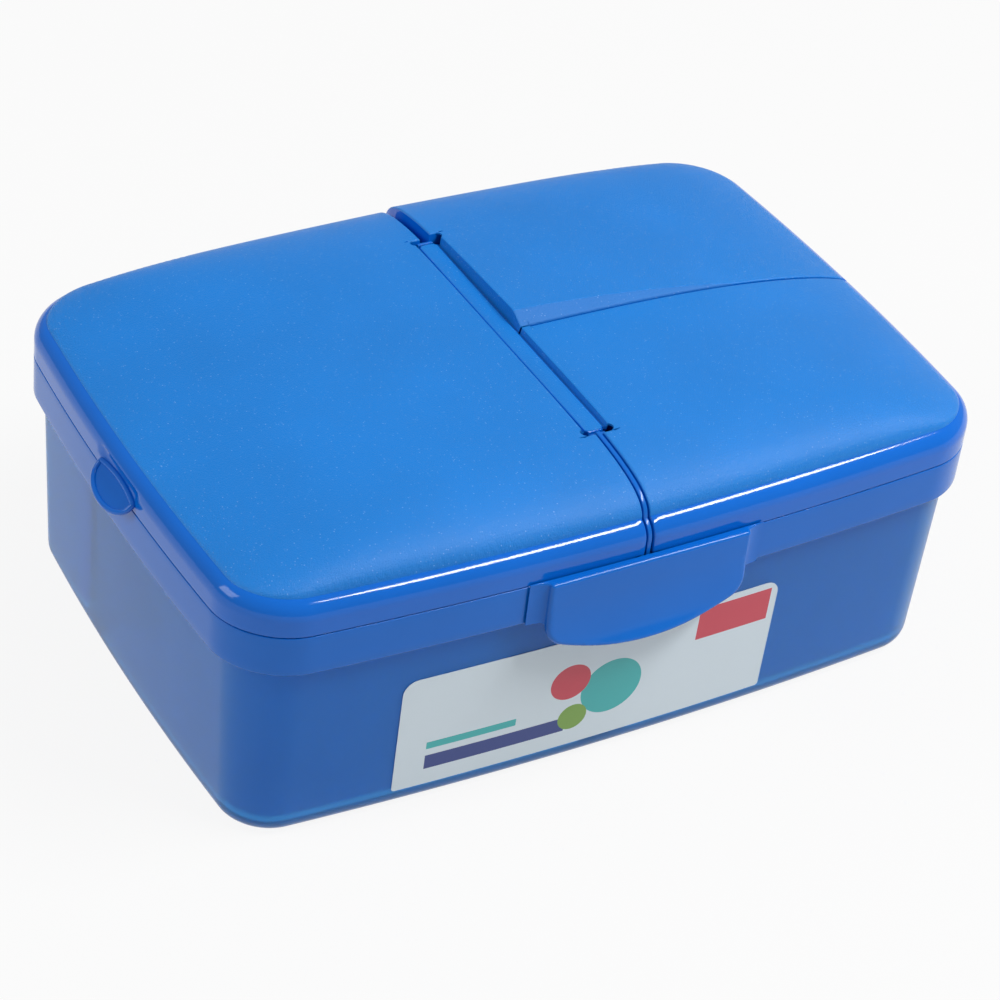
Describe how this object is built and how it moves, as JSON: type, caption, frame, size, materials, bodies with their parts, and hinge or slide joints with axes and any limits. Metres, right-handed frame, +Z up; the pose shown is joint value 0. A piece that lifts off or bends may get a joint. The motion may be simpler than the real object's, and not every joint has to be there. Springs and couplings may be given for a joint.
{
  "type": "lunch box",
  "caption": "Compartment lunch box: translucent tub, clip-on rim frame, and separate crowned lids that fold up from a fixed spine strip over their own compartments.",
  "frame": {"origin": "middle of the flat base that the box stands on", "axes": "+X along the long side towards the two small lids, +Y to the back, away from the front clip, +Z up"},
  "size_m": [0.2195, 0.1487, 0.0847],
  "materials": {
    "tub_plastic": "satin",
    "frame_plastic": "gloss",
    "lid_plastic": "satin",
    "label_paper": "satin"
  },
  "bodies": {
    "tub": {"tub": "tub_plastic", "label": "label_paper"},
    "frame": {"rim_frame": "frame_plastic", "spine_strip": "lid_plastic", "left_hinge_web": "lid_plastic", "back_right_hinge_web": "lid_plastic", "front_right_hinge_web": "lid_plastic"},
    "left_lid": {"left_lid": "lid_plastic"},
    "back_right_lid": {"back_right_lid": "lid_plastic"},
    "front_right_lid": {"front_right_lid": "lid_plastic"},
    "front_clip": {"front_clip": "frame_plastic"}
  },
  "joints": [
    {"name": "frame_lift", "type": "slide", "parent": "tub", "child": "frame", "axis": [0, 0, 1], "range_m": [0, 0.03]},
    {"name": "left_lid_hinge", "type": "hinge", "parent": "frame", "child": "left_lid", "pos_m": [-0.0047, 0, 0.0803], "axis": [0, 1, 0], "range_deg": [0, 90]},
    {"name": "back_right_lid_hinge", "type": "hinge", "parent": "frame", "child": "back_right_lid", "pos_m": [0.0047, 0.0215, 0.0803], "axis": [0, -1, 0], "range_deg": [0, 90]},
    {"name": "front_right_lid_hinge", "type": "hinge", "parent": "frame", "child": "front_right_lid", "pos_m": [0.0047, -0.0215, 0.0803], "axis": [0, -1, 0], "range_deg": [0, 90]},
    {"name": "clip_flex", "type": "hinge", "parent": "frame", "child": "front_clip", "pos_m": [0, -0.07185, 0.0654], "axis": [-1, 0, 0], "range_deg": [0, 15], "stiffness_Nm_per_rad": 0.3}
  ]
}
